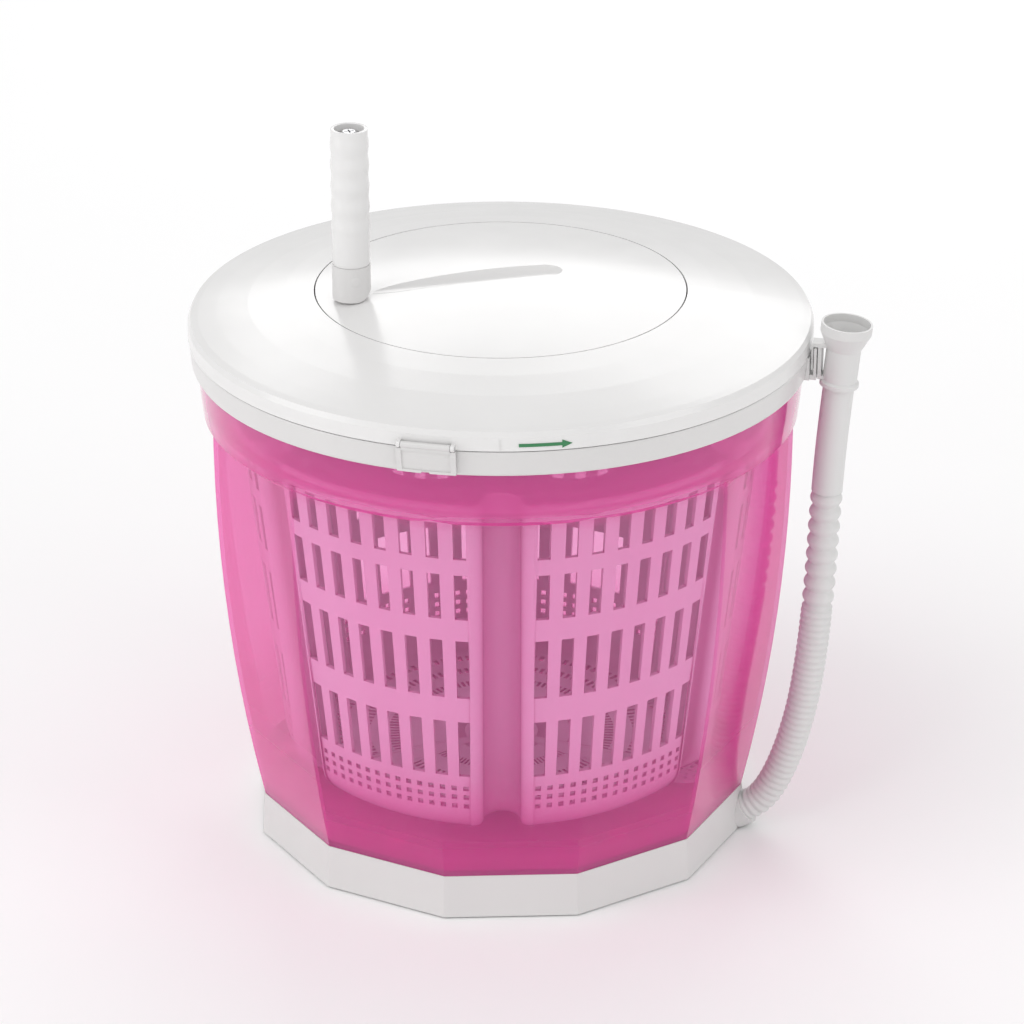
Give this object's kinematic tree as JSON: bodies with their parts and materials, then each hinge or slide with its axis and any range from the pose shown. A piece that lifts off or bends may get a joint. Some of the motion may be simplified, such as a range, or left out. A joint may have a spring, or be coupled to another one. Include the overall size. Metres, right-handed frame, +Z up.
{
  "type": "hand-cranked washer and spin dryer",
  "caption": "Hand-cranked washer and spin dryer: clear tinted tub, slotted spin basket, geared lid with a folding crank handle, drain hose clipped at the rim.",
  "frame": {"origin": "centre of the underside, on the plane of the feet, on the spin axis", "axes": "+Z up along the spin axis, -Y towards the front facet between the latch and the arrow, +X towards the drain hose"},
  "size_m": [0.3882, 0.3642, 0.437],
  "materials": {
    "pink_clear": "clear tinted, glossy",
    "white_plastic": "satin white moulding",
    "white_gloss": "smooth white, low gloss",
    "basket_plastic": "smooth white",
    "hose_plastic": "soft white, corrugated",
    "gear_plastic": "natural white gear plastic",
    "bearing_plastic": "self-lubricating plastic",
    "steel": "plain steel",
    "grey_rubber": "matt",
    "green_print": "green"
  },
  "bodies": {
    "tub": {"outer_tub": "pink_clear", "base_ring": "white_plastic", "base_flange": "white_plastic", "base_ribs": "white_plastic", "base_centre": "white_plastic", "base_bosses": "white_plastic", "rubber_feet": "grey_rubber", "base_screws": "steel", "rim_band": "white_plastic", "pivot_pin": "steel", "thrust_washer": "bearing_plastic", "drain_elbow": "white_plastic", "drain_gasket": "grey_rubber", "drain_strainer": "white_plastic", "hose_collar": "hose_plastic", "drain_hose": "hose_plastic", "hose_cap": "hose_plastic", "hose_bracket": "white_plastic"},
    "lid": {"lid_shell": "white_gloss", "lid_seal": "grey_rubber", "latch_pins": "steel", "direction_arrow": "green_print", "gear_case": "white_plastic", "gear_case_screws": "steel", "glide_ring": "bearing_plastic", "main_bush": "bearing_plastic", "planet_axles": "steel", "planet_retainers": "steel"},
    "latch_front": {"latch_front": "white_plastic"},
    "latch_back": {"latch_back": "white_plastic"},
    "crank": {"crank_disc": "white_gloss", "crank_hub": "white_plastic", "crank_lug": "white_plastic", "ring_gear": "gear_plastic", "ring_gear_screws": "steel", "hub_bush": "bearing_plastic", "handle_pin": "steel"},
    "handle": {"handle_post": "white_plastic", "grip_washer": "steel", "grip_screw": "steel"},
    "grip": {"hand_grip": "white_gloss"},
    "planet_1": {"planet_gear_1": "gear_plastic"},
    "planet_2": {"planet_gear_2": "gear_plastic"},
    "planet_3": {"planet_gear_3": "gear_plastic"},
    "drive": {"drive_shaft": "steel", "sun_gear": "gear_plastic", "drive_plate": "white_plastic", "drive_nut": "steel"},
    "basket": {"basket": "basket_plastic", "pivot_bush": "bearing_plastic"}
  },
  "joints": [
    {"name": "lid_lift", "type": "slide", "parent": "tub", "child": "lid", "axis": [0, 0, 1], "range_m": [0, 0.25]},
    {"name": "basket_spin", "type": "hinge", "parent": "tub", "child": "basket", "pos_m": [0, 0, 0.05], "axis": [0, 0, 1], "continuous": true},
    {"name": "crank_spin", "type": "hinge", "parent": "lid", "child": "crank", "pos_m": [0, 0, 0.33], "axis": [0, 0, 1], "continuous": true},
    {"name": "drive_spin", "type": "hinge", "parent": "lid", "child": "drive", "pos_m": [0, 0, 0.3], "axis": [0, 0, 1], "continuous": true},
    {"name": "handle_fold", "type": "hinge", "parent": "crank", "child": "handle", "pos_m": [-0.08536, -0.01971, 0.3486], "axis": [-0.225, 0.9744, 0], "range_deg": [0, 90]},
    {"name": "grip_spin", "type": "hinge", "parent": "handle", "child": "grip", "pos_m": [-0.08536, -0.01971, 0.4], "axis": [0, 0, 1], "continuous": true},
    {"name": "planet_spin_1", "type": "hinge", "parent": "lid", "child": "planet_1", "pos_m": [0.048, 0, 0.317], "axis": [0, 0, 1], "continuous": true},
    {"name": "planet_spin_2", "type": "hinge", "parent": "lid", "child": "planet_2", "pos_m": [-0.024, 0.04157, 0.317], "axis": [0, 0, 1], "continuous": true},
    {"name": "planet_spin_3", "type": "hinge", "parent": "lid", "child": "planet_3", "pos_m": [-0.024, -0.04157, 0.317], "axis": [0, 0, 1], "continuous": true},
    {"name": "latch_front_swing", "type": "hinge", "parent": "lid", "child": "latch_front", "pos_m": [-0.04718, -0.17609, 0.3112], "axis": [-0.9659, 0.2588, 0], "range_deg": [0, 100]},
    {"name": "latch_back_swing", "type": "hinge", "parent": "lid", "child": "latch_back", "pos_m": [0.04718, 0.17609, 0.3112], "axis": [0.9659, -0.2588, 0], "range_deg": [0, 100]}
  ],
  "couplings": [
    {"joint": "crank_spin", "follows": "basket_spin", "ratio": -0.33333},
    {"joint": "drive_spin", "follows": "basket_spin", "ratio": 1},
    {"joint": "planet_spin_1", "follows": "basket_spin", "ratio": -1},
    {"joint": "planet_spin_2", "follows": "basket_spin", "ratio": -1},
    {"joint": "planet_spin_3", "follows": "basket_spin", "ratio": -1}
  ]
}
